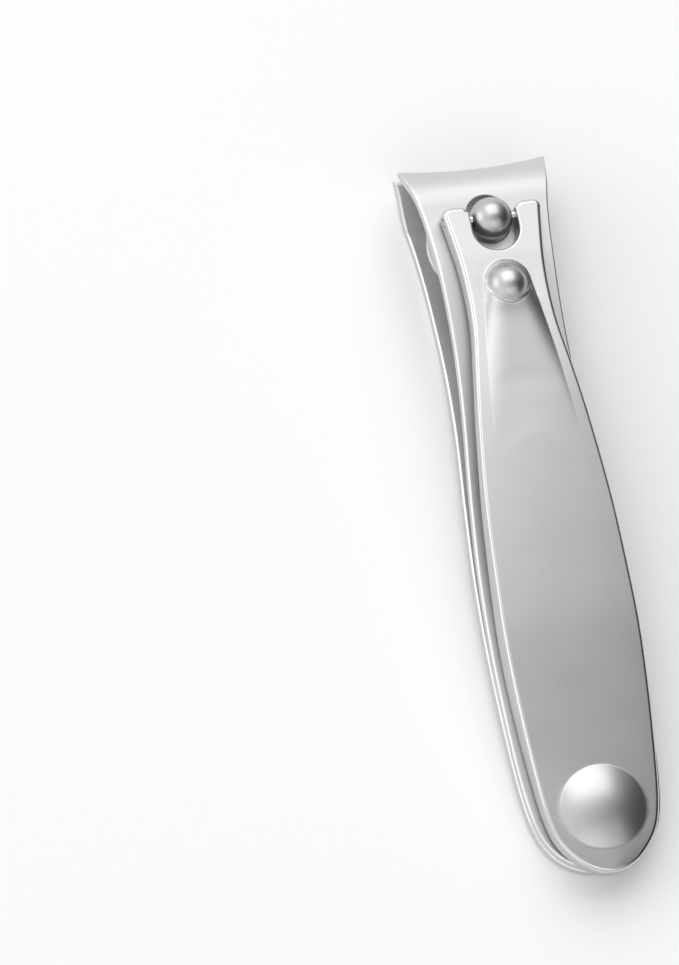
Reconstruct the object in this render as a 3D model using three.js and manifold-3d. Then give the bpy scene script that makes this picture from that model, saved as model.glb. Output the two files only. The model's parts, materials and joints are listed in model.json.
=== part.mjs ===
// Nail clipper with a folding lever, in millimetres.
// +Y points to the cutting edges, +X across, +Z up. The clipper lies on its lower arm, lever on top.
// The origin is under the middle of the bounding box, on the surface that it lies on.
import * as THREE from 'three';
import { mergeVertices } from 'three/addons/utils/BufferGeometryUtils.js';
import Module from 'manifold-3d';

const wasm = await Module();
wasm.setup();

// Length and width
const HEAD_Y = 40.5;
const ARM_TAIL_Y = -39.4;
const LEVER_TAIL_Y = -40.5;
const CUT_HALF_WIDTH = 8.3;
const CUT_SAGITTA = 0.8;
const LOWER_EDGE_Z = 4.3;
const UPPER_EDGE_Z = 6.0;

// Sheets
const ARM_T = 1.2;
const LOWER_CENTRE_Z = ARM_T / 2;
const UPPER_CENTRE_Z = 8.3;
const LEVER_SHEET_T = 1.5;
const LEVER_RIM_T = 1.3;

// Post, cross pin and fork
const POST_Y = 32.75;
const POST_R = 2.35;
const PIN_Z = 10.4;
const PIN_R = 0.45;
const PIN_HALF_LENGTH = 5.35;
const PIN_PRESS_GAP = 0.06;
const RUNNING_GAP = 0.15;
const BALL_Z = 10.1;
const FOOT_R = 3.0;
const FOOT_T = 0.8;
const FOOT_Z = 0.15;
const RECESS_R = 3.4;
const RECESS_DEPTH = 1.1;
const BOSS_R = 5.4;
const POST_HOLE_R = 2.6;
const POST_HOLE_TRAVEL = 0.85;
const FORK_HALF_T = 1.05;
const FORK_OVERHANG = 1.35;
const FORK_CORNER_R = 0.65;
const NOTCH_HALF_WIDTH = 2.6;
const NOTCH_DEPTH = 4.1;

// Lever features
const TONGUE_FRONT_Y = 27.55;
const TONGUE_TIP_R = 2.6;
const TONGUE_REAR_Y = 11;
const TONGUE_REAR_HALF_WIDTH = 4.5;
const BUMP_Y = 24.6;
const BUMP_R = 2.2;
const BUMP_CENTRE_Z = 11.9;
const DOME_Y = -33.4;
const DOME_R = 4.5;
const DOME_RISE = 1.1;
const DOME_RIM_Z = 5.92;
const DOME_TILT = 0.125;

// Rivets that hold the arms together at the tail
const RIVET_FRONT_Y = -26.5;
const RIVET_REAR_Y = -32.5;
const RIVET_R = 1.0;
const RIVET_HEAD_R = 1.7;
const RIVET_HEAD_T = 0.45;

const CURVE_STEPS = 8;
const SPLINE_STEPS = 3;
const SIDE_STEPS = 44;
const ROUND_STEPS = 36;
const ARC_STEPS = 240;
const REACH = 60;

function material(colour, roughness, metalness = 1) {
  return new THREE.MeshStandardMaterial({ color: colour, roughness, metalness });
}

function solid(geometry) {
  const bare = geometry.clone();
  bare.deleteAttribute('normal');
  bare.deleteAttribute('uv');
  const merged = mergeVertices(bare, 1e-5);
  const vertProperties = new Float32Array(merged.attributes.position.array);
  const triVerts = new Uint32Array(merged.index.array);
  return new wasm.Manifold(new wasm.Mesh({ numProp: 3, vertProperties, triVerts }));
}

function piece(name, body, finish) {
  const { numProp, vertProperties, triVerts } = body.getMesh();
  const positions = new Float32Array((vertProperties.length / numProp) * 3);
  for (let i = 0; i < positions.length / 3; i += 1) {
    positions.set(vertProperties.subarray(i * numProp, i * numProp + 3), i * 3);
  }
  const geometry = new THREE.BufferGeometry();
  geometry.setAttribute('position', new THREE.BufferAttribute(positions, 3));
  geometry.setIndex(new THREE.BufferAttribute(new Uint32Array(triVerts), 1));
  geometry.computeVertexNormals();
  const mesh = new THREE.Mesh(geometry, finish);
  mesh.name = name;
  return mesh;
}

// A prism whose section lies in the YZ plane, from side to side through the whole object.
function sideExtrusion(shape) {
  const geometry = new THREE.ExtrudeGeometry(shape, {
    depth: REACH,
    bevelEnabled: false,
    curveSegments: SPLINE_STEPS,
  });
  geometry.translate(0, 0, -REACH / 2);
  const toYZ = new THREE.Matrix4().makeBasis(
    new THREE.Vector3(0, 1, 0),
    new THREE.Vector3(0, 0, 1),
    new THREE.Vector3(1, 0, 0),
  );
  geometry.applyMatrix4(toYZ);
  return solid(geometry);
}

// A prism whose section lies in the XY plane, between two heights.
function planExtrusion(shape, low = -REACH / 2, high = REACH / 2) {
  const geometry = new THREE.ExtrudeGeometry(shape, {
    depth: high - low,
    bevelEnabled: false,
    curveSegments: CURVE_STEPS,
  });
  geometry.translate(0, 0, low);
  return solid(geometry);
}

function uprightCylinder(radius, y, low, high, topRadius = radius, steps = ROUND_STEPS) {
  const geometry = new THREE.CylinderGeometry(topRadius, radius, high - low, steps);
  geometry.rotateX(Math.PI / 2);
  geometry.translate(0, y, (low + high) / 2);
  return solid(geometry);
}

function crossCylinder(radius, y, z, halfLength) {
  const geometry = new THREE.CylinderGeometry(radius, radius, 2 * halfLength, ROUND_STEPS);
  geometry.rotateZ(Math.PI / 2);
  geometry.translate(0, y, z);
  return solid(geometry);
}

function turned(profile, y, z, tilt = 0) {
  const geometry = new THREE.LatheGeometry(profile, ROUND_STEPS);
  geometry.rotateX(Math.PI / 2 + tilt);
  geometry.translate(0, y, z);
  return solid(geometry);
}

// A closed plan outline, the same on both sides of X = 0, from half-widths along one side.
function mirroredOutline(side) {
  const right = side.map(([y, halfWidth]) => new THREE.Vector2(halfWidth, y));
  const left = right.filter((p) => p.x > 0).map((p) => new THREE.Vector2(-p.x, p.y)).reverse();
  return new THREE.Shape([...right, ...left]);
}

function sampledSide(points, steps) {
  const curve = new THREE.SplineCurve(points.map(([y, w]) => new THREE.Vector2(y, w)));
  return curve.getPoints(steps).map((p) => [p.x, Math.max(p.y, 0)]);
}

// A curved sheet seen from the side: its centre line, thickened by half the sheet on each side.
function sheetSection(centreLine, thickness) {
  const stations = centreLine.map((point, i) => {
    const before = centreLine[Math.max(i - 1, 0)];
    const after = centreLine[Math.min(i + 1, centreLine.length - 1)];
    const along = new THREE.Vector2().subVectors(after, before).normalize();
    return { point, normal: new THREE.Vector2(-along.y, along.x) };
  });
  const offset = (distance) => stations.map(({ point, normal }) => (
    point.clone().addScaledVector(normal, distance)));
  return new THREE.Shape([...offset(thickness / 2), ...offset(-thickness / 2).reverse()]);
}

function joinedCurves(curves, steps) {
  return curves.flatMap((curve, i) => curve.getPoints(steps).slice(i === 0 ? 0 : 1));
}

function bezier(...points) {
  return new THREE.CubicBezierCurve(...points.map(([y, z]) => new THREE.Vector2(y, z)));
}

function line(from, to) {
  return new THREE.LineCurve(new THREE.Vector2(...from), new THREE.Vector2(...to));
}

// Both arms are cut from the same blank: flared at the edge, waisted behind the post, wide at the tail.
function armBlank() {
  const side = sampledSide([
    [HEAD_Y + 1, CUT_HALF_WIDTH + 0.25], [HEAD_Y, CUT_HALF_WIDTH], [37.3, 7.65], [33.5, 7.0],
    [27.5, 6.5], [20, 6.35], [12, 6.7], [3, 7.5], [-6, 8.1], [-15, 8.25], [-24, 8.0],
    [-30.5, 7.55], [-34.8, 6.7], [-37.5, 5.0], [-39, 2.6], [ARM_TAIL_Y, 0],
  ], SIDE_STEPS);
  return planExtrusion(mirroredOutline(side));
}

// What grinding takes off an arm's end: a hollow arc in plan at the front, leaning back a little towards
// the outer face, and all of the sheet past the height of the cutting edge.
function groundOff(edgeZ, outwards) {
  const radius = (CUT_HALF_WIDTH ** 2 + CUT_SAGITTA ** 2) / (2 * CUT_SAGITTA);
  const centreY = HEAD_Y - CUT_SAGITTA + radius;
  const height = 6;
  const outerRadius = radius + 0.12 * height;
  const inside = [edgeZ - outwards * height, edgeZ].sort((a, b) => a - b);
  const front = outwards > 0
    ? uprightCylinder(radius, centreY, edgeZ, edgeZ + height, outerRadius, ARC_STEPS)
    : uprightCylinder(outerRadius, centreY, edgeZ - height, edgeZ, radius, ARC_STEPS);
  return front.add(uprightCylinder(radius + 3, centreY, ...inside, radius + 3, ARC_STEPS));
}

function lowerJaw() {
  const centreLine = joinedCurves([
    bezier([41.3, 4.75], [37.9, 2.2], [36.6, LOWER_CENTRE_Z], [35, LOWER_CENTRE_Z]),
    line([35, LOWER_CENTRE_Z], [26, LOWER_CENTRE_Z]),
    bezier([26, LOWER_CENTRE_Z], [20, LOWER_CENTRE_Z], [14, 1.78], [2, 1.78]),
    bezier([2, 1.78], [-10, 1.78], [-25, 1.25], [-42, 0.56]),
  ], CURVE_STEPS);
  const boss = uprightCylinder(BOSS_R, POST_Y, LOWER_CENTRE_Z, ARM_T + RECESS_DEPTH, BOSS_R - 0.4);
  const recess = uprightCylinder(RECESS_R, POST_Y, -1, RECESS_DEPTH);
  const postHole = uprightCylinder(POST_R + RUNNING_GAP, POST_Y, -1, 5);
  return sideExtrusion(sheetSection(centreLine, ARM_T))
    .intersect(armBlank())
    .add(boss)
    .subtract(groundOff(LOWER_EDGE_Z, -1))
    .subtract(recess)
    .subtract(postHole)
    .subtract(rivetHoles());
}

function upperJaw() {
  const centreLine = joinedCurves([
    bezier([41.3, 5.4], [38.4, 7.5], [37.5, UPPER_CENTRE_Z], [35.5, UPPER_CENTRE_Z]),
    line([35.5, UPPER_CENTRE_Z], [29.5, UPPER_CENTRE_Z]),
    bezier([29.5, UPPER_CENTRE_Z], [25, UPPER_CENTRE_Z], [14, 6.45], [4, 5.3]),
    bezier([4, 5.3], [-8, 3.92], [-26, 2.5], [-42, 1.98]),
  ], CURVE_STEPS);
  const hole = new THREE.Shape();
  hole.absarc(0, POST_Y + POST_HOLE_TRAVEL, POST_HOLE_R, 0, Math.PI);
  hole.absarc(0, POST_Y, POST_HOLE_R, Math.PI, 2 * Math.PI);
  return sideExtrusion(sheetSection(centreLine, ARM_T))
    .intersect(armBlank())
    .subtract(groundOff(UPPER_EDGE_Z, 1))
    .subtract(planExtrusion(hole))
    .subtract(rivetHoles());
}

function rivetHoles() {
  const radius = RIVET_R + RUNNING_GAP;
  return uprightCylinder(radius, RIVET_FRONT_Y, -1, 6)
    .add(uprightCylinder(radius, RIVET_REAR_Y, -1, 6));
}

// A rivet with a low round head on the upper arm and a flush foot in the lower one.
function rivet(y, foot, headSeat) {
  const profile = [
    new THREE.Vector2(0, foot),
    new THREE.Vector2(RIVET_R, foot),
    new THREE.Vector2(RIVET_R, headSeat),
    new THREE.Vector2(RIVET_HEAD_R, headSeat),
    new THREE.Vector2(RIVET_HEAD_R, headSeat + RIVET_HEAD_T / 3),
    new THREE.Vector2(RIVET_HEAD_R * 0.6, headSeat + RIVET_HEAD_T * 0.85),
    new THREE.Vector2(0, headSeat + RIVET_HEAD_T),
  ];
  return turned(profile, y, 0);
}

function pivotPost() {
  const crown = new THREE.Path();
  crown.moveTo(POST_R, FOOT_Z + FOOT_T);
  crown.lineTo(POST_R, BALL_Z);
  crown.absarc(0, BALL_Z, POST_R, 0, Math.PI / 2);
  const profile = [
    new THREE.Vector2(0, FOOT_Z),
    new THREE.Vector2(FOOT_R - 0.3, FOOT_Z),
    new THREE.Vector2(FOOT_R, FOOT_Z + 0.3),
    new THREE.Vector2(FOOT_R, FOOT_Z + FOOT_T),
    ...crown.getPoints(CURVE_STEPS),
  ];
  profile[profile.length - 1].x = 0;
  return turned(profile, POST_Y, 0)
    .subtract(crossCylinder(PIN_R + PIN_PRESS_GAP, POST_Y, PIN_Z, 2 * POST_R));
}

function crossPin() {
  return crossCylinder(PIN_R, POST_Y, PIN_Z, PIN_HALF_LENGTH);
}

// The lever from the side. The fork is flat and straight, and the body bows down to the tail.
const leverRim = [
  [19, 9.25], [12.5, 8.85], [5, 8.0], [-2.5, 6.85], [-10, 5.55], [-17.5, 4.5], [-26, 3.85],
  [LEVER_TAIL_Y, 3.2],
];
const leverTop = [
  [22, 11.3], [15, 11.1], [10, 10.82], [4, 10.32], [-4, 9.58], [-13, 8.65], [-22, 7.45], [-31, 6.2],
  [LEVER_TAIL_Y, 5.05],
];

function leverSection() {
  const forkTop = PIN_Z + FORK_HALF_T;
  const forkBottom = PIN_Z - FORK_HALF_T;
  const frontY = POST_Y + FORK_OVERHANG;
  const r = FORK_CORNER_R;
  const shape = new THREE.Shape();
  shape.moveTo(26, forkBottom);
  shape.lineTo(frontY - r, forkBottom);
  shape.absarc(frontY - r, forkBottom + r, r, -Math.PI / 2, 0);
  shape.absarc(frontY - r, forkTop - r, r, 0, Math.PI / 2);
  shape.lineTo(28.2, forkTop);
  shape.splineThru(leverTop.map(([y, z]) => new THREE.Vector2(y, z)));
  shape.lineTo(LEVER_TAIL_Y, 3.2);
  shape.splineThru(leverRim.map(([y, z]) => new THREE.Vector2(y, z)).reverse().slice(1));
  return shape;
}

function leverBlank() {
  const side = sampledSide([
    [POST_Y + FORK_OVERHANG, 5.65], [30.5, 5.15], [27.5, 4.8], [24, 4.65], [20, 4.8], [15.5, 5.4], [9, 6.25],
    [0, 7.1], [-9, 7.5], [-15, 7.6], [-22, 7.35], [-29, 6.85], [-33.7, 6.3], [-36.6, 5.4], [-39, 3.5],
    [-40.2, 1.6], [LEVER_TAIL_Y, 0],
  ], SIDE_STEPS);
  return planExtrusion(mirroredOutline(side));
}

// The tongue rises between the fork's shoulders and runs into the body's own top.
function tongue() {
  const section = new THREE.Shape();
  section.moveTo(TONGUE_FRONT_Y, 10.9);
  section.lineTo(TONGUE_FRONT_Y, 12.1);
  section.splineThru([[24, 12.2], [21, 11.82], [18, 11.53], [14, 11.17], [TONGUE_REAR_Y, 10.93]]
    .map(([y, z]) => new THREE.Vector2(y, z)));
  section.lineTo(TONGUE_REAR_Y, 10.4);
  const tipY = TONGUE_FRONT_Y - TONGUE_TIP_R;
  const plan = new THREE.Shape();
  plan.moveTo(TONGUE_REAR_HALF_WIDTH, TONGUE_REAR_Y);
  plan.quadraticCurveTo(3.85, 18, TONGUE_TIP_R, tipY);
  plan.absarc(0, tipY, TONGUE_TIP_R, 0, Math.PI);
  plan.quadraticCurveTo(-3.85, 18, -TONGUE_REAR_HALF_WIDTH, TONGUE_REAR_Y);
  return sideExtrusion(section).intersect(planExtrusion(plan));
}

function notch() {
  const plan = new THREE.Shape();
  const bottomY = POST_Y - NOTCH_DEPTH + NOTCH_HALF_WIDTH;
  plan.moveTo(NOTCH_HALF_WIDTH, HEAD_Y);
  plan.lineTo(-NOTCH_HALF_WIDTH, HEAD_Y);
  plan.absarc(0, bottomY, NOTCH_HALF_WIDTH, Math.PI, 2 * Math.PI);
  return planExtrusion(plan);
}

// A spherical cap with the middle of its rim at height z, leaning towards the tail by its tilt.
function cap(radius, rise, y, z, tilt = 0) {
  const sphereR = (radius ** 2 + rise ** 2) / (2 * rise);
  const arc = new THREE.Path();
  arc.absarc(0, rise - sphereR, sphereR, Math.asin((sphereR - rise) / sphereR), Math.PI / 2);
  const profile = [new THREE.Vector2(0, -1), new THREE.Vector2(radius, -1), ...arc.getPoints(CURVE_STEPS)];
  profile[profile.length - 1].x = 0;
  return turned(profile, y, z, tilt);
}

// The underside is hollow: a pocket inside the rim, one sheet thickness under the top.
function underPocket() {
  const section = new THREE.Shape();
  section.moveTo(12, 0);
  section.lineTo(12, 9.45);
  section.splineThru(leverTop.slice(2, -1).map(([y, z]) => new THREE.Vector2(y, z - LEVER_SHEET_T)));
  section.lineTo(LEVER_TAIL_Y + 2.2, 3.85);
  section.lineTo(LEVER_TAIL_Y + 2.2, 0);
  const side = sampledSide([
    [12, 4.6], [9, 6.25 - LEVER_RIM_T], [0, 7.1 - LEVER_RIM_T], [-9, 7.5 - LEVER_RIM_T],
    [-15, 7.6 - LEVER_RIM_T], [-22, 7.35 - LEVER_RIM_T], [-29, 6.85 - LEVER_RIM_T],
    [-33.7, 6.3 - LEVER_RIM_T], [-36.2, 3.9], [-38, 2], [-38.5, 0],
  ], SIDE_STEPS / 2);
  return sideExtrusion(section).intersect(planExtrusion(mirroredOutline(side)));
}

function lever() {
  return sideExtrusion(leverSection())
    .intersect(leverBlank())
    .subtract(underPocket())
    .add(tongue())
    .add(cap(BUMP_R, 1.45, BUMP_Y, BUMP_CENTRE_Z))
    .add(cap(DOME_R, DOME_RISE, DOME_Y, DOME_RIM_Z, DOME_TILT))
    .subtract(notch())
    .subtract(crossCylinder(PIN_R + RUNNING_GAP, POST_Y, PIN_Z, 2 * PIN_HALF_LENGTH));
}

const clipper = new THREE.Group();
clipper.add(
  piece('lower_jaw', lowerJaw(), material(0xc9c8c5, 0.34)),
  piece('upper_jaw', upperJaw(), material(0xd2d1ce, 0.34)),
  piece('lever', lever(), material(0xc4c2bf, 0.38)),
  piece('pivot_post', pivotPost(), material(0xb9b7b4, 0.14)),
  piece('cross_pin', crossPin(), material(0xd8d7d5, 0.2)),
  piece('tail_rivet_front', rivet(RIVET_FRONT_Y, 0.7, 3.52), material(0xc2c1be, 0.3)),
  piece('tail_rivet_rear', rivet(RIVET_REAR_Y, 0.5, 3.19), material(0xc2c1be, 0.3)),
);

export default clipper;
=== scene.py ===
import json
import math

import bmesh
import bpy
import numpy as np
from mathutils import Matrix, Vector
from mathutils.geometry import delaunay_2d_cdt


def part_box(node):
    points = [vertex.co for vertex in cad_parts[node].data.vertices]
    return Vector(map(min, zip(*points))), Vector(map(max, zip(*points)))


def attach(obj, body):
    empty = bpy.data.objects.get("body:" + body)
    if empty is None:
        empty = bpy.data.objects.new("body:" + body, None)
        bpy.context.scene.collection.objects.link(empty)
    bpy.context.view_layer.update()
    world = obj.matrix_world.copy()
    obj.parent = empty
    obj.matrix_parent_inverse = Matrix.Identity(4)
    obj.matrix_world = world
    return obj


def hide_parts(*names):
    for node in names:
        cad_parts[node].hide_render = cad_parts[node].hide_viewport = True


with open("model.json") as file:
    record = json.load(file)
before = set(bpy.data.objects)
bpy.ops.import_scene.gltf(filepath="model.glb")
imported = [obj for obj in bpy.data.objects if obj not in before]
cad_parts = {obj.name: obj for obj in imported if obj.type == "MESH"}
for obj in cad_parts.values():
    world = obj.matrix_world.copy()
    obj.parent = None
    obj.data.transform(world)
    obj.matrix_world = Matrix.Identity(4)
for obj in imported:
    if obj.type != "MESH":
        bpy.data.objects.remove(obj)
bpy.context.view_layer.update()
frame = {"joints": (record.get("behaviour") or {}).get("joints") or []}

# Lengths below are in millimetres, in the CAD model's frame: +Y to the cutting edges, +Z up.
# They become metres when a mesh is made.
MM = 0.001
joints = {joint["name"]: joint for joint in frame["joints"]}
POST_Y = joints["post_turn"]["pos_m"][1] / MM
PIN_Z = joints["lever_lift"]["pos_m"][2] / MM


def box_mm(node):
    low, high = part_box(node)
    return np.array(low) / MM, np.array(high) / MM


LEVER_LOW, LEVER_HIGH = box_mm("lever")
_, JAW_HIGH = box_mm("upper_jaw")
_, PIN_HIGH = box_mm("cross_pin")
POST_LOW, POST_HIGH = box_mm("pivot_post")
HEAD_Y = JAW_HIGH[1]
FRONT_Y = LEVER_HIGH[1]
TAIL_Y = LEVER_LOW[1]
CUT_HALF_WIDTH = JAW_HIGH[0]

# Arms, post and rivets
CUT_SAGITTA = 0.8
LOWER_EDGE_Z = 4.3
UPPER_EDGE_Z = 6.0
HEAD_BEND_Y = 36.0
ARM_T = 1.2
BOSS_R = 5.4
BOSS_Z = 2.3
BOSS_FLANK = 0.55
RECESS_R = 3.4
RECESS_Z = 1.1
POST_R = 2.0
BALL_R = 2.35
POST_HOLE_R = 2.35
POST_HOLE_TRAVEL = 0.85
RUNNING_GAP = 0.15
RIVET_Y = (-26.5, -32.5)
RIVET_R = 1.0
RIVET_HOLE_R = RIVET_R + RUNNING_GAP
RIVET_HEAD_T = 0.45
RIVET_RIM = 0.16
ARM_EDGE_R = 0.24
CUTTING_EDGE_R = 0.05

# Lever
FORK_TOP_Z = 11.45
FORK_BOTTOM_Z = 9.35
FORK_END_Y = 28.2
RIM_START_Y = 26.0
NOTCH_HALF_WIDTH = 2.6
NOTCH_END_Y = POST_Y - 4.1
TONGUE_FRONT_Y = 27.55
TONGUE_TIP_R = 2.6
TONGUE_REAR_Y = 11.0
TONGUE_REAR_HALF_WIDTH = 4.5
TONGUE_FADE_Y = 3.0
TONGUE_CONTROL = (3.85, 18)
TONGUE_SHOULDER = 2.5
TONGUE_ROUNDING = 2.6
BUMP_Y = 24.6
BUMP_R = 2.2
BUMP_RISE = 1.45
BUMP_BASE_Z = 11.9
DIMPLE_R = 1.35
DIMPLE_DEPTH = 1.0
DOME_Y = -33.4
DOME_R = 4.5
DOME_RISE = 1.1
SHEET_T = 1.5
RIM_T = 1.3
CROWN = 0.24

# (y, half-width) or (y, z) points of the design curves
ARM_SIDE = [
    (41.5, 8.55), (40.5, 8.3), (37.3, 7.65), (33.5, 7.0), (27.5, 6.5), (20, 6.35), (12, 6.7), (3, 7.5),
    (-6, 8.1), (-15, 8.25), (-24, 8.0), (-30.5, 7.55), (-34.8, 6.7), (-37.5, 5.0), (-39, 2.6), (-39.4, 0),
]
LOWER_CENTRE = [
    [(41.3, 4.75), (37.9, 2.2), (36.6, 0.6), (35, 0.6)],
    [(35, 0.6), (32, 0.6), (29, 0.6), (26, 0.6)],
    [(26, 0.6), (20, 0.6), (14, 1.78), (2, 1.78)],
    [(2, 1.78), (-10, 1.78), (-25, 1.25), (-42, 0.56)],
]
UPPER_CENTRE = [
    [(41.3, 5.4), (38.4, 7.5), (37.5, 8.3), (35.5, 8.3)],
    [(35.5, 8.3), (33.5, 8.3), (31.5, 8.3), (29.5, 8.3)],
    [(29.5, 8.3), (25, 8.3), (14, 6.45), (4, 5.3)],
    [(4, 5.3), (-8, 3.92), (-26, 2.5), (-42, 1.98)],
]
LEVER_SIDE = [
    (FRONT_Y, 5.65), (30.5, 5.15), (27.5, 4.8), (24, 4.65), (20, 4.8), (15.5, 5.4), (9, 6.25), (0, 7.1),
    (-9, 7.5), (-15, 7.6), (-22, 7.35), (-29, 6.85), (-33.7, 6.3), (-36.6, 5.4), (-39, 3.5),
    (-40.2, 1.6), (TAIL_Y, 0),
]
LEVER_TOP = [
    (FORK_END_Y, FORK_TOP_Z), (22, 11.3), (15, 11.1), (10, 10.82), (4, 10.32), (-4, 9.58),
    (-13, 8.65), (-22, 7.45), (-31, 6.2), (TAIL_Y, 5.05),
]
LEVER_RIM = [
    (RIM_START_Y, FORK_BOTTOM_Z), (19, 9.25), (12.5, 8.85), (5, 8.0), (-2.5, 6.85), (-10, 5.55),
    (-17.5, 4.5), (-26, 3.85), (TAIL_Y, 3.2),
]
TONGUE_TOP = [
    (TONGUE_FRONT_Y, 12.1), (24, 12.2), (21, 11.8), (18, 11.5), (14, 11.13), (11, 10.86), (7, 10.4),
    (2, 9.6),
]
POCKET_SIDE = [
    (12, 4.6), (9, 6.25 - RIM_T), (0, 7.1 - RIM_T), (-9, 7.5 - RIM_T), (-15, 7.6 - RIM_T),
    (-22, 7.35 - RIM_T), (-29, 6.85 - RIM_T), (-33.7, 6.3 - RIM_T), (-36.2, 3.9), (-38, 2), (-38.5, 0),
]

# Steps round an edge, and the narrow flat strip beside it that keeps its shading crisp
ROUND_STEPS = 5
HOLD = 0.04


# Curves in the plane

def catmull_rom(points, steps=16):
    p = np.array(points, float)
    t = np.linspace(0, 1, steps, endpoint=False)[:, None]
    parts = []
    for i in range(len(p) - 1):
        p0, p1, p2, p3 = p[max(i - 1, 0)], p[i], p[i + 1], p[min(i + 2, len(p) - 1)]
        cubic = -p0 + 3 * p1 - 3 * p2 + p3
        square = 2 * p0 - 5 * p1 + 4 * p2 - p3
        parts.append(0.5 * (2 * p1 + (p2 - p0) * t + square * t**2 + cubic * t**3))
    return np.vstack(parts + [p[-1:]])


def bezier(p0, p1, p2, p3, steps=24):
    p0, p1, p2, p3 = (np.array(p, float) for p in (p0, p1, p2, p3))
    t = np.linspace(0, 1, steps)[:, None]
    return (1 - t)**3 * p0 + 3 * t * (1 - t)**2 * p1 + 3 * t**2 * (1 - t) * p2 + t**3 * p3


def as_function(curve):
    ordered = curve[np.argsort(curve[:, 0])]
    return lambda y: np.interp(y, ordered[:, 0], ordered[:, 1])


def resampled(points, spacing):
    """The same open line with evenly spaced points, its two ends kept."""
    points = np.array(points, float)
    along = np.concatenate([[0], np.cumsum(np.linalg.norm(np.diff(points, axis=0), axis=1))])
    count = max(int(math.ceil(along[-1] / spacing)), 1)
    where = np.linspace(0, along[-1], count + 1)
    return np.column_stack([np.interp(where, along, points[:, k]) for k in (0, 1)])


def arc(x, y, radius, start, end, spacing=0.2):
    count = max(int(abs(math.radians(end - start)) * radius / spacing), 3)
    angle = np.radians(np.linspace(start, end, count + 1))
    return np.column_stack([x + radius * np.cos(angle), y + radius * np.sin(angle)])


def ring(x, y, radius, spacing=0.2):
    """A closed ring, going round the way a hole in a plate does."""
    return arc(x, y, radius, 360, 0, spacing)[:-1]


def fillet(before, corner, after, radius, spacing=0.08):
    """The arc that rounds a corner between two straight lines."""
    corner = np.array(corner, float)
    a = np.array(before, float) - corner
    b = np.array(after, float) - corner
    a /= np.linalg.norm(a)
    b /= np.linalg.norm(b)
    half = math.acos(np.clip(a @ b, -1, 1)) / 2
    middle = (a + b) / np.linalg.norm(a + b)
    centre = corner + middle * radius / math.sin(half)
    start = corner + a * radius / math.tan(half) - centre
    end = corner + b * radius / math.tan(half) - centre
    first = math.atan2(start[1], start[0])
    turn = math.atan2(start[0] * end[1] - start[1] * end[0], start @ end)
    count = max(int(abs(turn) * radius / spacing), 4)
    angle = first + turn * np.linspace(0, 1, count + 1)
    return centre + radius * np.column_stack([np.cos(angle), np.sin(angle)])


def joined(*parts):
    """One closed loop from parts that follow each other, without doubled points."""
    points = np.vstack(parts)
    keep = np.linalg.norm(points - np.roll(points, 1, 0), axis=1) > 0.02
    return points[keep]


def inward(loop):
    """Direction into the material at each point, longer at a corner so that an inset keeps its width."""
    behind = loop - np.roll(loop, 1, 0)
    ahead = np.roll(loop, -1, 0) - loop
    behind /= np.linalg.norm(behind, axis=1)[:, None]
    ahead /= np.linalg.norm(ahead, axis=1)[:, None]
    both = np.column_stack([-(behind + ahead)[:, 1], (behind + ahead)[:, 0]])
    both /= np.linalg.norm(both, axis=1)[:, None]
    one = np.column_stack([-behind[:, 1], behind[:, 0]])
    return both / np.maximum((both * one).sum(1), 0.5)[:, None]


def inside(points, loops):
    x, y = points[:, 0], points[:, 1]
    odd = np.zeros(len(points), bool)
    for loop in loops:
        for (x0, y0), (x1, y1) in zip(loop, np.roll(loop, -1, 0)):
            if y0 != y1:
                odd ^= ((y0 > y) != (y1 > y)) & (x < (x1 - x0) * (y - y0) / (y1 - y0) + x0)
    return odd


def clearance(points, others):
    """How far each point is from the nearest of the others."""
    best = np.full(len(points), 1e9)
    for start in range(0, len(others), 100):
        gap = points[:, None] - others[None, start:start + 100]
        best = np.minimum(best, (gap**2).sum(2).min(1))
    return np.sqrt(best)


def distance_to_line(points, line, closed):
    """Distance from each point to a line made of short segments."""
    ends = np.roll(line, -1, 0) if closed else line[1:]
    starts = line if closed else line[:-1]
    best = np.full(len(points), 1e9)
    for a, b in zip(starts, ends):
        d = b - a
        t = np.clip(((points - a) @ d) / (d @ d), 0, 1)
        best = np.minimum(best, ((points - a - t[:, None] * d)**2).sum(1))
    return np.sqrt(best)


def smooth_step(value, start, end):
    t = np.clip((value - start) / (end - start), 0, 1)
    return t * t * (3 - 2 * t)


def smooth_max(a, b, blend):
    """The larger of two heights, with a fillet about as wide as blend where they meet."""
    h = np.clip(0.5 + 0.5 * (a - b) / blend, 0, 1)
    return b * (1 - h) + a * h + blend * h * (1 - h) * 0.5


# Meshes

def mesh_object(name, verts, faces, polish_and_highlight):
    mesh = bpy.data.meshes.new(name)
    mesh.from_pydata([tuple(v) for v in np.array(verts) * MM], [], faces)
    # Per-point edge mask, strongest midway round each rounding: it lowers roughness on the polished edges
    # and also brightens their colour as a painted highlight.
    attribute = mesh.attributes.new("polish_and_highlight", "FLOAT", "POINT")
    attribute.data.foreach_set("value", np.array(polish_and_highlight, np.float32))
    mesh.shade_smooth()
    mesh.update()
    piece = bpy.data.objects.new(name, mesh)
    bpy.context.scene.collection.objects.link(piece)
    return piece


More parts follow.
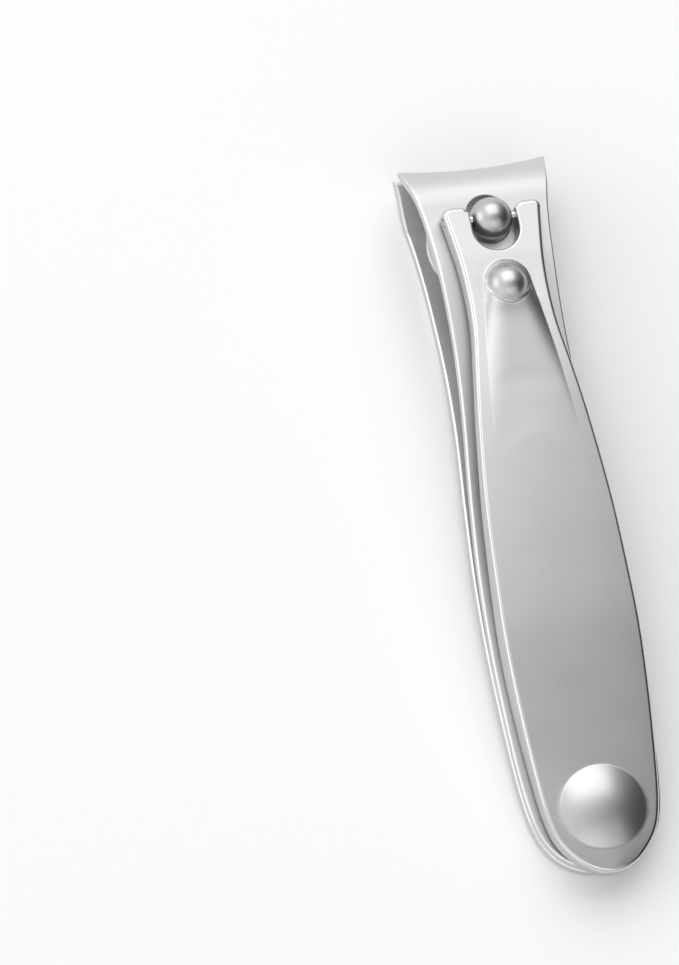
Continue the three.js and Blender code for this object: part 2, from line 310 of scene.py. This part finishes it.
def fill(loops, features, spacing):
    """Points and triangles that fill a plate's face inside its loops, with a closer net at its features."""
    edge_points = np.vstack(loops)
    kept = [edge_points]
    for feature in features:
        feature = feature[inside(feature, loops)]
        if len(feature):
            feature = feature[clearance(feature, np.vstack(kept)) > 0.07]
            kept.append(feature)
    low, high = edge_points.min(0), edge_points.max(0)
    rows = np.arange(low[1], high[1], spacing * 0.87)
    columns = np.arange(low[0] - spacing, high[0] + spacing, spacing)
    x, y = np.meshgrid(columns, rows)
    x = x + (np.arange(len(rows)) % 2)[:, None] * spacing / 2
    grid = np.column_stack([x.ravel(), y.ravel()])
    grid = grid[inside(grid, loops)]
    grid = grid[clearance(grid, np.vstack(kept)) > spacing * 0.6]
    points = np.vstack(kept + [grid])
    edges = []
    start = 0
    for loop in loops:
        n = len(loop)
        edges += [(start + i, start + (i + 1) % n) for i in range(n)]
        start += n
    made, _, triangles, origin, _, _ = delaunay_2d_cdt([Vector(p) for p in points], edges, [], 0, 1e-7)
    source = [ids[0] for ids in origin]
    centres = np.array([sum((made[i] for i in t), Vector((0, 0))) / 3 for t in triangles])
    wanted = inside(centres, loops)
    faces = [[source[i] for i in t] for t, w in zip(triangles, wanted) if w]
    return points[len(edge_points):], faces


def edge_stations(top, bottom, top_r, bottom_r):
    """Steps from the bottom face, round its edge, up the wall and round the upper edge to the top face.

    Each is an inset, a height from a face, that face, which way is up from it, and how polished it is; the
    same value also brightens the colour there as a painted highlight."""
    quarter = np.radians(np.linspace(0, 90, ROUND_STEPS + 1))
    lower, upper = [], []
    for a in quarter:
        # Peaks midway round the rounding, where the painted highlight on the edge is strongest.
        shine = math.sin(2 * a) ** 0.5
        inset, height = 1 - math.cos(a), 1 - math.sin(a)
        lower.append((bottom_r * inset, bottom_r * height, bottom, 1, shine))
        upper.append((top_r * inset, top_r * height, top, -1, shine))
    return [
        (bottom_r + HOLD, 0 * bottom_r, bottom, 1, 0),
        *lower[::-1],
        (0 * bottom_r, bottom_r + HOLD, bottom, 1, 0),
        (0 * top_r, top_r + HOLD, top, -1, 0),
        *upper,
        (top_r + HOLD, 0 * top_r, top, -1, 0),
    ]


def plate(name, loops, top, bottom, top_r, bottom_r, top_features, bottom_features, spacing):
    """A formed sheet: closed outlines, a top and a bottom height at each point, and rounded edges."""
    verts, polish_and_highlight, faces = [], [], []
    inner_top, inner_bottom, top_ids, bottom_ids = [], [], [], []
    for loop in loops:
        normal = inward(loop)
        rt, rb = top_r(loop), bottom_r(loop)
        stations = edge_stations(top, bottom, rt, rb)
        n = len(loop)
        first = len(verts)
        for inset, drop, surface, up, shine in stations:
            xy = loop + normal * inset[:, None]
            verts += list(np.column_stack([xy, surface(xy) + up * drop]))
            polish_and_highlight += [shine] * n
        for k in range(len(stations) - 1):
            a, b = first + k * n, first + (k + 1) * n
            faces += [(a + i, a + (i + 1) % n, b + (i + 1) % n, b + i) for i in range(n)]
        inner_bottom.append(loop + normal * (rb + HOLD)[:, None])
        inner_top.append(loop + normal * (rt + HOLD)[:, None])
        bottom_ids += range(first, first + n)
        top_ids += range(first + (len(stations) - 1) * n, first + len(stations) * n)
    for loops_here, ids, surface, features, flipped in (
        (inner_top, top_ids, top, top_features, False),
        (inner_bottom, bottom_ids, bottom, bottom_features, True),
    ):
        points, triangles = fill(loops_here, features, spacing)
        index = ids + list(range(len(verts), len(verts) + len(points)))
        verts += list(np.column_stack([points, surface(points)]))
        polish_and_highlight += [0] * len(points)
        for t in triangles:
            face = [index[i] for i in t]
            faces.append(face[::-1] if flipped else face)
    return mesh_object(name, verts, faces, polish_and_highlight)


def turned(name, profile, y, steps):
    """A turned piece about an upright axis, from a (radius, z) profile that starts and ends on the axis."""
    verts, faces = [], []
    angle = np.arange(steps) * 2 * math.pi / steps
    rings = []
    for radius, z in profile:
        if radius == 0:
            rings.append([len(verts)] * steps)
            verts.append((0, y, z))
        else:
            rings.append(list(range(len(verts), len(verts) + steps)))
            verts += [(radius * math.cos(a), y + radius * math.sin(a), z) for a in angle]
    for lower, upper in zip(rings, rings[1:]):
        for i in range(steps):
            j = (i + 1) % steps
            face = [lower[i], lower[j], upper[j], upper[i]]
            faces.append([v for k, v in enumerate(face) if v not in face[:k]])
    return mesh_object(name, verts, faces, [0] * len(verts))


def rounded_profile(points, radius, steps=4):
    """A turned profile with each inner corner point rounded."""
    made = [points[0]]
    for before, corner, after in zip(points, points[1:], points[2:]):
        sides = (math.dist(before, corner), math.dist(corner, after))
        if math.dist(before, after) > sum(sides) - 1e-6:
            made.append(corner)
            continue
        r = min(radius, 0.4 * min(sides))
        spacing = r * 1.5 / steps
        made += [tuple(p) for p in fillet(before, corner, after, r, spacing)]
    return made + [points[-1]]


# Arms

FRONT_RADIUS = (CUT_HALF_WIDTH**2 + CUT_SAGITTA**2) / (2 * CUT_SAGITTA)


def front_y(x):
    return HEAD_Y - CUT_SAGITTA + FRONT_RADIUS - np.sqrt(FRONT_RADIUS**2 - x**2)


def arm_outline():
    side = catmull_rom(ARM_SIDE)
    side = side[side[:, 0] <= HEAD_Y + 1e-6]
    side = resampled(side, 0.28)
    x = np.linspace(side[0, 1], -side[0, 1], 70)
    cut = np.column_stack([x, front_y(x)])
    left = np.column_stack([-side[:, 1], side[:, 0]])
    right = np.column_stack([side[:, 1], side[:, 0]])[::-1]
    return joined(cut[:-1], left[:-1], right[:-1])


def sheet_faces(centre_beziers, thickness):
    """Heights of a bent sheet's top and bottom faces along Y."""
    line = np.vstack([bezier(*c)[:-1] for c in centre_beziers])
    along = np.gradient(line, axis=0)
    along /= np.linalg.norm(along, axis=1)[:, None]
    normal = np.column_stack([-along[:, 1], along[:, 0]])
    normal *= np.sign(normal[:, 1])[:, None]
    return as_function(line + normal * thickness / 2), as_function(line - normal * thickness / 2)


def arm_edge_r(loop):
    near_cut = smooth_step(front_y(np.clip(loop[:, 0], -8.5, 8.5)) - loop[:, 1], 0.1, 1.6)
    return CUTTING_EDGE_R + (ARM_EDGE_R - CUTTING_EDGE_R) * near_cut


def cross_row(y, half_width=8.4, spacing=0.2):
    x = np.arange(-half_width, half_width, spacing)
    return np.column_stack([x, np.full(len(x), y)])


def crease_rows(surface, level):
    """Rows of points on both sides of where a sheet's face crosses a height near its front."""
    y = np.linspace(HEAD_BEND_Y, HEAD_Y, 400)
    crossing = y[np.argmin(np.abs(surface(y) - level))]
    return [cross_row(crossing + step) for step in (-0.06, 0, 0.06)]


def rings_about(y, radii, spacing=0.22):
    return [ring(0, y, r, spacing) for r in radii]


RIVET_HOLES = [ring(0, y, RIVET_HOLE_R) for y in RIVET_Y]


def edge_or_hole_r(hole_r):
    """Edge radius by loop: a small one round holes, which lie well inside the outline."""
    def radius(loop):
        if np.ptp(loop[:, 1]) < 12:
            return np.full(len(loop), hole_r)
        return arm_edge_r(loop)
    return radius


def lower_jaw():
    sheet_top, sheet_bottom = sheet_faces(LOWER_CENTRE, ARM_T)

    def top(xy):
        from_post = np.hypot(xy[:, 0], xy[:, 1] - POST_Y)
        sheet = np.minimum(sheet_top(xy[:, 1]), LOWER_EDGE_Z)
        boss = sheet + (BOSS_Z - ARM_T) * (1 - smooth_step(from_post, BOSS_R - BOSS_FLANK, BOSS_R))
        return np.maximum(sheet, np.minimum(boss, BOSS_Z))

    def bottom(xy):
        from_post = np.hypot(xy[:, 0], xy[:, 1] - POST_Y)
        sheet = sheet_bottom(xy[:, 1])
        return sheet + (RECESS_Z - sheet) * (1 - smooth_step(from_post, RECESS_R - 0.1, RECESS_R + 0.1))

    post_hole = ring(0, POST_Y, POST_R + RUNNING_GAP)
    boss_steps = np.array((-0.7, -0.55, -0.45, -0.35, -0.25, -0.15, -0.05, 0.02, 0.15))
    recess_steps = np.array((-0.25, -0.1, -0.04, 0, 0.04, 0.1, 0.25))
    boss_rings = rings_about(POST_Y, BOSS_R + boss_steps)
    recess_rings = rings_about(POST_Y, RECESS_R + recess_steps, 0.16)
    return plate(
        "lower_jaw_body", [arm_outline(), post_hole, *RIVET_HOLES], top, bottom, edge_or_hole_r(0.12),
        edge_or_hole_r(0.12), boss_rings + crease_rows(sheet_top, LOWER_EDGE_Z), recess_rings, 0.42)


def upper_jaw():
    sheet_top, sheet_bottom = sheet_faces(UPPER_CENTRE, ARM_T)

    def top(xy):
        return sheet_top(xy[:, 1])

    def bottom(xy):
        sheet = sheet_bottom(xy[:, 1])
        return np.where(xy[:, 1] > HEAD_BEND_Y, np.maximum(sheet, UPPER_EDGE_Z), sheet)

    front_half = arc(0, POST_Y + POST_HOLE_TRAVEL, POST_HOLE_R, 180, 0)
    rear_half = arc(0, POST_Y, POST_HOLE_R, 360, 180)
    slot = joined(front_half, rear_half)
    return plate(
        "upper_jaw_body", [arm_outline(), slot, *RIVET_HOLES], top, bottom, edge_or_hole_r(0.14),
        edge_or_hole_r(0.14), [], crease_rows(sheet_bottom, UPPER_EDGE_Z), 0.42)


# Lever

lever_top_line = as_function(catmull_rom(LEVER_TOP))
lever_rim_line = as_function(catmull_rom(LEVER_RIM))
lever_half_width = as_function(catmull_rom(LEVER_SIDE))
tongue_top_line = as_function(catmull_rom(TONGUE_TOP))


def tongue_outline(offset=0.0):
    """The tongue's open outline from the rear right, round its tip, to the rear left, moved outwards."""
    tip_y = TONGUE_FRONT_Y - TONGUE_TIP_R
    start = np.array((TONGUE_REAR_HALF_WIDTH, TONGUE_REAR_Y))
    middle = np.array(TONGUE_CONTROL)
    end = np.array((TONGUE_TIP_R, tip_y))
    t = np.linspace(0, 1, 60)[:, None]
    side = (1 - t)**2 * start + 2 * t * (1 - t) * middle + t**2 * end
    fade = start + (start - middle) * (TONGUE_REAR_Y - TONGUE_FADE_Y) / (middle[1] - TONGUE_REAR_Y)
    side = np.vstack([resampled([fade, start], 0.3)[:-1], side])
    tip = arc(0, tip_y, TONGUE_TIP_R, 0, 180, 0.15)
    left = (side * [-1, 1])[::-1]
    line = np.vstack([side[:-1], tip, left[1:]])
    tangent = np.gradient(line, axis=0)
    tangent /= np.linalg.norm(tangent, axis=1)[:, None]
    outwards = np.column_stack([tangent[:, 1], -tangent[:, 0]])
    return line + outwards * offset


TONGUE_LINE = tongue_outline()


def cap_height(distance, radius, rise):
    sphere_r = (radius**2 + rise**2) / (2 * rise)
    return np.sqrt(np.maximum(sphere_r**2 - distance**2, 0)) - (sphere_r - rise)


def flank(within):
    """The tongue's side, from 0 at its foot to 1 on its top: steep at the foot, then rounding over."""
    t = np.clip(within / TONGUE_SHOULDER, 0, 1)
    rounding = 1 - (1 - t)**TONGUE_ROUNDING
    return smooth_max(rounding, 0 * t, 0.06) * smooth_step(within, -0.12, 0.12)


def lever_top(xy):
    x, y = xy[:, 0], xy[:, 1]
    across = np.clip(np.abs(x) / np.maximum(lever_half_width(y), 1.5), 0, 1.2)
    body = smooth_step(y, 24, 8)
    z = np.where(y > FORK_END_Y, FORK_TOP_Z, lever_top_line(y)) - CROWN * body * across**2
    within = np.where(inside(xy, [TONGUE_LINE]), 1, -1) * distance_to_line(xy, TONGUE_LINE, False)
    rise = smooth_max(tongue_top_line(np.minimum(y, TONGUE_FRONT_Y)), z, 0.14) - z
    z = z + rise * flank(within)
    bump_distance = np.hypot(x, y - BUMP_Y)
    bump = BUMP_BASE_Z + cap_height(bump_distance, BUMP_R, BUMP_RISE)
    z = np.where(bump_distance < 3.4, smooth_max(z, bump, 0.5), z)
    dome_distance = np.hypot(x, y - DOME_Y)
    dome = lever_top_line(y) + cap_height(dome_distance, DOME_R, DOME_RISE)
    return np.where(dome_distance < DOME_R + 0.4, smooth_max(z, dome, 0.05), z)


def pocket_outline():
    side = resampled(catmull_rom(POCKET_SIDE), 0.3)
    left = np.column_stack([-side[:, 1], side[:, 0]])
    right = np.column_stack([side[:, 1], side[:, 0]])[::-1]
    front = resampled([right[-1], left[0]], 0.3)
    return joined(left[:-1], right[:-1], front[:-1])


POCKET_LOOP = pocket_outline()


def lever_bottom(xy):
    x, y = xy[:, 0], xy[:, 1]
    rim = np.where(y > RIM_START_Y, FORK_BOTTOM_Z, lever_rim_line(y))
    dome = np.maximum(cap_height(np.hypot(x, y - DOME_Y), DOME_R - 0.4, DOME_RISE), 0)
    roof = lever_top_line(y) - SHEET_T + dome
    within = np.where(inside(xy, [POCKET_LOOP]), 1, -1) * distance_to_line(xy, POCKET_LOOP, True)
    hollow = np.maximum(roof - rim, 0) * smooth_step(within, -0.12, 0.3)
    dimple = np.maximum(cap_height(np.hypot(x, y - BUMP_Y), DIMPLE_R, DIMPLE_DEPTH), 0)
    return rim + hollow + dimple


def lever_outline():
    side = catmull_rom(LEVER_SIDE)
    half = side[0, 1]
    corner_out = fillet((half - 0.12, FRONT_Y - 1), (half, FRONT_Y), (0, FRONT_Y), 0.8)
    corner_in = fillet((half, FRONT_Y), (NOTCH_HALF_WIDTH, FRONT_Y), (NOTCH_HALF_WIDTH, 0), 0.95)
    side = resampled(side[side[:, 0] < corner_out[0, 1] - 0.1], 0.3)
    notch_y = NOTCH_END_Y + NOTCH_HALF_WIDTH
    notch_side = resampled([corner_in[-1], (NOTCH_HALF_WIDTH, notch_y)], 0.2)[1:-1]
    right_half_notch = arc(0, notch_y, NOTCH_HALF_WIDTH, 0, -90, 0.15)
    right = np.vstack([
        np.column_stack([side[:, 1], side[:, 0]])[::-1], corner_out,
        resampled([corner_out[-1], corner_in[0]], 0.2)[1:-1], corner_in, notch_side, right_half_notch,
    ])
    left = (right * [-1, 1])[::-1]
    return joined(right, left)


def lever_top_r(loop):
    y = loop[:, 1]
    side = 0.54 - 0.16 * smooth_step(y, 26, 12) + 0.06 * smooth_step(y, 0, -30)
    in_notch = (np.abs(loop[:, 0]) < NOTCH_HALF_WIDTH + 0.05) & (y > NOTCH_END_Y - 0.5)
    return np.where(in_notch, 0.22, side)


def lever_bottom_r(loop):
    return np.full(len(loop), 0.14) + 0.14 * smooth_step(loop[:, 1], 28, 24)


def cut_cross_bore(piece, radius):
    """Drills the pin's bore through both prongs."""
    cutter_mesh = bpy.data.meshes.new("cross_bore_cutter")
    form = bmesh.new()
    place = Matrix.Translation((0, POST_Y * MM, PIN_Z * MM)) @ Matrix.Rotation(math.pi / 2, 4, "Y")
    bmesh.ops.create_cone(
        form, cap_ends=True, segments=48, radius1=radius * MM, radius2=radius * MM, depth=20 * MM,
        matrix=place)
    form.to_mesh(cutter_mesh)
    form.free()
    cutter = bpy.data.objects.new("cross_bore_cutter", cutter_mesh)
    bpy.context.scene.collection.objects.link(cutter)
    cut = piece.modifiers.new("bore", "BOOLEAN")
    cut.operation = "DIFFERENCE"
    cut.solver = "EXACT"
    cut.object = cutter
    graph = bpy.context.evaluated_depsgraph_get()
    piece.data = bpy.data.meshes.new_from_object(piece.evaluated_get(graph), depsgraph=graph)
    piece.modifiers.clear()
    bpy.data.objects.remove(cutter)
    bpy.data.meshes.remove(cutter_mesh)
    piece.data.shade_smooth()
    piece.data.set_sharp_from_angle(angle=math.radians(50))


def lever():
    tongue_steps = (0.16, 0.08, 0, -0.08, -0.16, -0.26, -0.4, -0.56, -0.75, -0.98, -1.25, -1.55, -1.9)
    tongue_lines = [resampled(tongue_outline(step), 0.2) for step in tongue_steps]
    bump_rings = rings_about(BUMP_Y, np.arange(0.2, 2.7, 0.16), 0.17)
    dome_rings = rings_about(DOME_Y, (*np.arange(0.4, 4.3, 0.35), 4.38, 4.44, 4.5, 4.56, 4.64, 4.8), 0.22)
    pocket_normal = inward(POCKET_LOOP)
    pocket_lines = [POCKET_LOOP + pocket_normal * step for step in (-0.14, -0.02, 0.08, 0.18, 0.3, 0.42)]
    dimple_rings = rings_about(BUMP_Y, (0.3, 0.6, 0.85, 1.05, 1.2, 1.3, 1.4, 1.55), 0.2)
    hollow_rings = rings_about(DOME_Y, (0.5, 1.2, 1.9, 2.6, 3.2, 3.7, 4.0, 4.2), 0.3)
    piece = plate(
        "lever_body", [lever_outline()], lever_top, lever_bottom, lever_top_r, lever_bottom_r,
        bump_rings + tongue_lines + dome_rings, dimple_rings + pocket_lines + hollow_rings, 0.4)
    cut_cross_bore(piece, PIN_HIGH[2] - PIN_Z + 0.05)
    return piece


# Post, pin and rivets

def pivot_post():
    foot_z, foot_top = POST_LOW[2], POST_LOW[2] + 0.8
    ball_z = POST_HIGH[2] - BALL_R
    neck = math.acos(POST_R / BALL_R)
    neck_z = ball_z - BALL_R * math.sin(neck)
    foot_r = POST_HIGH[0]
    lower = rounded_profile([
        (0, foot_z), (foot_r - 0.3, foot_z), (foot_r, foot_z + 0.3), (foot_r, foot_top),
        (POST_R, foot_top), (POST_R, neck_z - 1.5), (POST_R, neck_z),
    ], 0.12)[:-1]
    turn = np.linspace(-neck, math.pi / 2, 30)
    ball = [(BALL_R * math.cos(a), ball_z + BALL_R * math.sin(a)) for a in turn]
    ball[-1] = (0, POST_HIGH[2])
    return turned("pivot_post_body", lower + ball, POST_Y, 96)


def cross_pin():
    radius, half = PIN_HIGH[2] - PIN_Z, PIN_HIGH[0]
    piece = turned("cross_pin_body", rounded_profile([
        (0, -half), (radius, -half), (radius, -half + 0.5), (radius, 0), (radius, half - 0.5),
        (radius, half), (0, half),
    ], 0.16), 0, 48)
    piece.data.transform(
        Matrix.Translation((0, POST_Y * MM, PIN_Z * MM)) @ Matrix.Rotation(math.pi / 2, 4, "Y"))
    return piece


def rivet(node):
    low, high = box_mm(node)
    y, head_r = (low[1] + high[1]) / 2, high[0]
    seat = high[2] - RIVET_HEAD_T
    rise = RIVET_HEAD_T - RIVET_RIM
    turn = np.linspace(0, math.pi / 2, 10)
    dome = [(head_r * math.cos(a), seat + RIVET_RIM + rise * math.sin(a)) for a in turn]
    dome[-1] = (0, high[2])
    profile = [
        (0, low[2]), (RIVET_R - 0.12, low[2] + 0.02), (RIVET_R, low[2] + 0.12), (RIVET_R, seat),
        (head_r, seat),
    ]
    return turned(node + "_body", profile + dome, y, 48)


# Materials

def principled(name, colour, roughness):
    material = bpy.data.materials.new(name)
    material.use_nodes = True
    shader = material.node_tree.nodes["Principled BSDF"]
    shader.inputs["Base Color"].default_value = (*colour, 1)
    shader.inputs["Metallic"].default_value = 1
    shader.inputs["Roughness"].default_value = roughness
    return material, shader


def node(tree, kind, **settings):
    made = tree.nodes.new(kind)
    for key, value in settings.items():
        if key in made.inputs:
            made.inputs[key].default_value = value
        else:
            setattr(made, key, value)
    return made


def map_range(tree, from_low, from_high, to_low, to_high, **settings):
    made = node(tree, "ShaderNodeMapRange", **settings)
    made.inputs["From Min"].default_value = from_low
    made.inputs["From Max"].default_value = from_high
    made.inputs["To Min"].default_value = to_low
    made.inputs["To Max"].default_value = to_high
    return made


def steel_roughness(tree, grains, clouds, polish_and_highlight_mask, roughness, edge_roughness):
    """Roughness that wanders with the grain and the clouds, and is lower on the polished edges."""
    link = tree.links.new
    spread = map_range(tree, 0.3, 0.7, -0.05, 0.05)
    link(grains.outputs["Fac"], spread.inputs["Value"])
    cloudy = map_range(tree, 0.3, 0.7, -0.02, 0.02)
    link(clouds.outputs["Fac"], cloudy.inputs["Value"])
    face = node(tree, "ShaderNodeMath", operation="ADD")
    face.inputs[1].default_value = roughness
    link(spread.outputs["Result"], face.inputs[0])
    both = node(tree, "ShaderNodeMath", operation="ADD")
    link(face.outputs[0], both.inputs[0])
    link(cloudy.outputs["Result"], both.inputs[1])
    rough = node(tree, "ShaderNodeMix", data_type="FLOAT")
    rough.inputs["B"].default_value = edge_roughness
    link(polish_and_highlight_mask.outputs["Fac"], rough.inputs["Factor"])
    link(both.outputs[0], rough.inputs["A"])
    return rough.outputs[0]


def steel_colour(tree, clouds, polish_and_highlight_mask, colour):
    """A faint cloudiness in the colour, and a painted highlight that brightens the colour on the polished
    edges.
    """
    link = tree.links.new
    tint = node(tree, "ShaderNodeMix", data_type="RGBA")
    tint.inputs["A"].default_value = (*(c * 0.965 for c in colour), 1)
    tint.inputs["B"].default_value = (*(min(c * 1.03, 1) for c in colour), 1)
    link(clouds.outputs["Fac"], tint.inputs["Factor"])
    # Painted highlight: the colour is brightened on the rounded edges.
    painted_edge_highlight = node(tree, "ShaderNodeMix", data_type="RGBA")
    painted_edge_highlight.inputs["B"].default_value = (*(min(c * 1.16, 1) for c in colour), 1)
    link(polish_and_highlight_mask.outputs["Fac"], painted_edge_highlight.inputs["Factor"])
    link(tint.outputs["Result"], painted_edge_highlight.inputs["A"])
    return painted_edge_highlight.outputs["Result"]


def steel(name, colour, roughness, grain, grain_depth, stretch=(1, 1, 1), edge_roughness=0.14):
    """Stainless steel with a fine grain, faint clouds, and smoother edges whose colour is brightened as a
    painted highlight.
    """
    material, shader = principled(name, colour, roughness)
    tree = material.node_tree
    link = tree.links.new
    place = node(tree, "ShaderNodeTexCoord")
    mapping = node(tree, "ShaderNodeMapping", Scale=stretch)
    link(place.outputs["Object"], mapping.inputs["Vector"])
    grains = node(tree, "ShaderNodeTexNoise", Scale=grain, Detail=3.0, Roughness=0.6)
    link(mapping.outputs["Vector"], grains.inputs["Vector"])
    clouds = node(tree, "ShaderNodeTexNoise", Scale=140.0, Detail=2.0, Roughness=0.5)
    link(place.outputs["Object"], clouds.inputs["Vector"])
    # The edge mask, used for the polished edges' lower roughness and for a painted highlight in the colour.
    polish_and_highlight_mask = node(tree, "ShaderNodeAttribute", attribute_name="polish_and_highlight")
    link(steel_roughness(tree, grains, clouds, polish_and_highlight_mask, roughness, edge_roughness), shader.inputs["Roughness"])
    link(steel_colour(tree, clouds, polish_and_highlight_mask, colour), shader.inputs["Base Color"])
    bump = node(tree, "ShaderNodeBump", Strength=0.35, Distance=grain_depth)
    link(grains.outputs["Fac"], bump.inputs["Height"])
    link(bump.outputs["Normal"], shader.inputs["Normal"])
    return material


SATIN = steel("satin_steel_arms", (0.64, 0.635, 0.628), 0.48, 9000.0, 0.0000025)
SATIN_LEVER = steel("satin_steel_lever", (0.545, 0.54, 0.534), 0.33, 9000.0, 0.0000025)
POLISHED = steel("polished_steel_post", (0.52, 0.515, 0.51), 0.32, 4000.0, 0.0000005, (1, 1, 0.3))
PIN_STEEL = steel("polished_steel_pin", (0.78, 0.775, 0.765), 0.16, 3200.0, 0.000001)
RIVET_STEEL = steel("satin_steel_rivets", (0.72, 0.715, 0.70), 0.28, 6000.0, 0.000004)


def finish_piece(piece, body, nodes, material):
    piece.data.materials.clear()
    piece.data.materials.append(material)
    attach(piece, body)
    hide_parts(*nodes)


finish_piece(lower_jaw(), "lower_arm", ["lower_jaw"], SATIN)
finish_piece(upper_jaw(), "upper_arm", ["upper_jaw"], SATIN)
finish_piece(lever(), "lever", ["lever"], SATIN_LEVER)
finish_piece(pivot_post(), "post", ["pivot_post"], POLISHED)
finish_piece(cross_pin(), "post", ["cross_pin"], PIN_STEEL)
for rivet_node in ("tail_rivet_front", "tail_rivet_rear"):
    finish_piece(rivet(rivet_node), "lower_arm", [rivet_node], RIVET_STEEL)


# Floor, light and camera

ROOM_LIGHT_SIDE = (-0.66, 0.55, 0.3)
ROOM_DARK = 0.04
ROOM_LIGHT = 1.05
ROOM_NEAR_SIDE = (-0.2, -0.98, 0)
ROOM_NEAR = 0.7
KEY_WATTS = 2.4
FILL_WATTS = 0.7
SIDE_WATTS = 0.66


def floor():
    mesh = bpy.data.meshes.new("floor")
    half = 3.0
    corners = [(-half, -half, 0), (half, -half, 0), (half, half, 0), (-half, half, 0)]
    mesh.from_pydata(corners, [], [(0, 1, 2, 3)])
    plane = bpy.data.objects.new("floor", mesh)
    bpy.context.scene.collection.objects.link(plane)
    plane.location.z = -0.00002
    material, shader = principled("pale_floor", (0.93, 0.93, 0.93), 0.6)
    shader.inputs["Metallic"].default_value = 0
    mesh.materials.append(material)


def soft_box(name, direction, distance, size, watts, target=(0, 0, 0.005)):
    light = bpy.data.lights.new(name, "AREA")
    light.shape = "RECTANGLE"
    light.size, light.size_y = size
    light.energy = watts
    lamp = bpy.data.objects.new(name, light)
    way = Vector(direction).normalized()
    lamp.location = Vector(target) + way * distance
    lamp.rotation_mode = "QUATERNION"
    lamp.rotation_quaternion = way.to_track_quat("Z", "Y")
    bpy.context.scene.collection.objects.link(lamp)


def room_side(tree, place, direction, shade):
    """Lights the room towards one direction, as the shade says."""
    towards = node(tree, "ShaderNodeVectorMath", operation="DOT_PRODUCT")
    towards.inputs[1].default_value = Vector(direction).normalized()
    tree.links.new(place.outputs["Generated"], towards.inputs[0])
    tree.links.new(towards.outputs["Value"], shade.inputs["Value"])
    return shade.outputs["Result"]


def studio():
    """A pale room with three soft boxes, lighter ahead and on the left, darker on the right."""
    world = bpy.data.worlds.new("studio")
    world.use_nodes = True
    tree = world.node_tree
    place = node(tree, "ShaderNodeTexCoord")
    far = map_range(tree, -0.45, 0.75, ROOM_DARK, ROOM_LIGHT, interpolation_type="SMOOTHSTEP")
    near = map_range(tree, 0.35, 0.85, 0, ROOM_NEAR, interpolation_type="SMOOTHSTEP")
    total = node(tree, "ShaderNodeMath", operation="ADD")
    tree.links.new(room_side(tree, place, ROOM_LIGHT_SIDE, far), total.inputs[0])
    tree.links.new(room_side(tree, place, ROOM_NEAR_SIDE, near), total.inputs[1])
    background = tree.nodes["Background"]
    background.inputs["Color"].default_value = (1, 1, 0.995, 1)
    tree.links.new(total.outputs[0], background.inputs["Strength"])
    bpy.context.scene.world = world
    bpy.context.scene.view_settings.view_transform = "Standard"
    soft_box("key", (0, 0.588, 0.809), 0.8, (0.85, 0.8), KEY_WATTS)
    soft_box("side", (-0.93, 0.25, 0.3), 0.8, (0.55, 0.35), SIDE_WATTS)
    soft_box("low_fill", (0.15, -0.66, 0.74), 0.8, (0.8, 0.5), FILL_WATTS)


# The view of the object: where the camera stands, and how far it is rolled about its own axis.
AZIMUTH = -38.29
ELEVATION = 67.83
ROLL = 29.04
DISTANCE = 879.8
FOCAL = 303.3
OFF_CENTRE = (21.75, -3.63)
AIM = (0, 0, 5)


def camera():
    a, e, roll = (math.radians(v) for v in (AZIMUTH, ELEVATION, ROLL))
    back = Vector((math.sin(a) * math.cos(e), -math.cos(a) * math.cos(e), math.sin(e)))
    level_right = (-back).cross(Vector((0, 0, 1))).normalized()
    level_up = level_right.cross(-back)
    right = level_right * math.cos(roll) + level_up * math.sin(roll)
    up = -level_right * math.sin(roll) + level_up * math.cos(roll)
    data = bpy.data.cameras.new("camera")
    data.lens = FOCAL
    data.clip_start, data.clip_end = 0.01, 20
    eye = bpy.data.objects.new("camera", data)
    place = Vector(AIM) + back * DISTANCE - right * OFF_CENTRE[0] - up * OFF_CENTRE[1]
    turn = Matrix((right, up, back)).transposed()
    eye.matrix_world = Matrix.Translation(place * MM) @ turn.to_4x4()
    bpy.context.scene.collection.objects.link(eye)
    bpy.context.scene.camera = eye


floor()
studio()
camera()
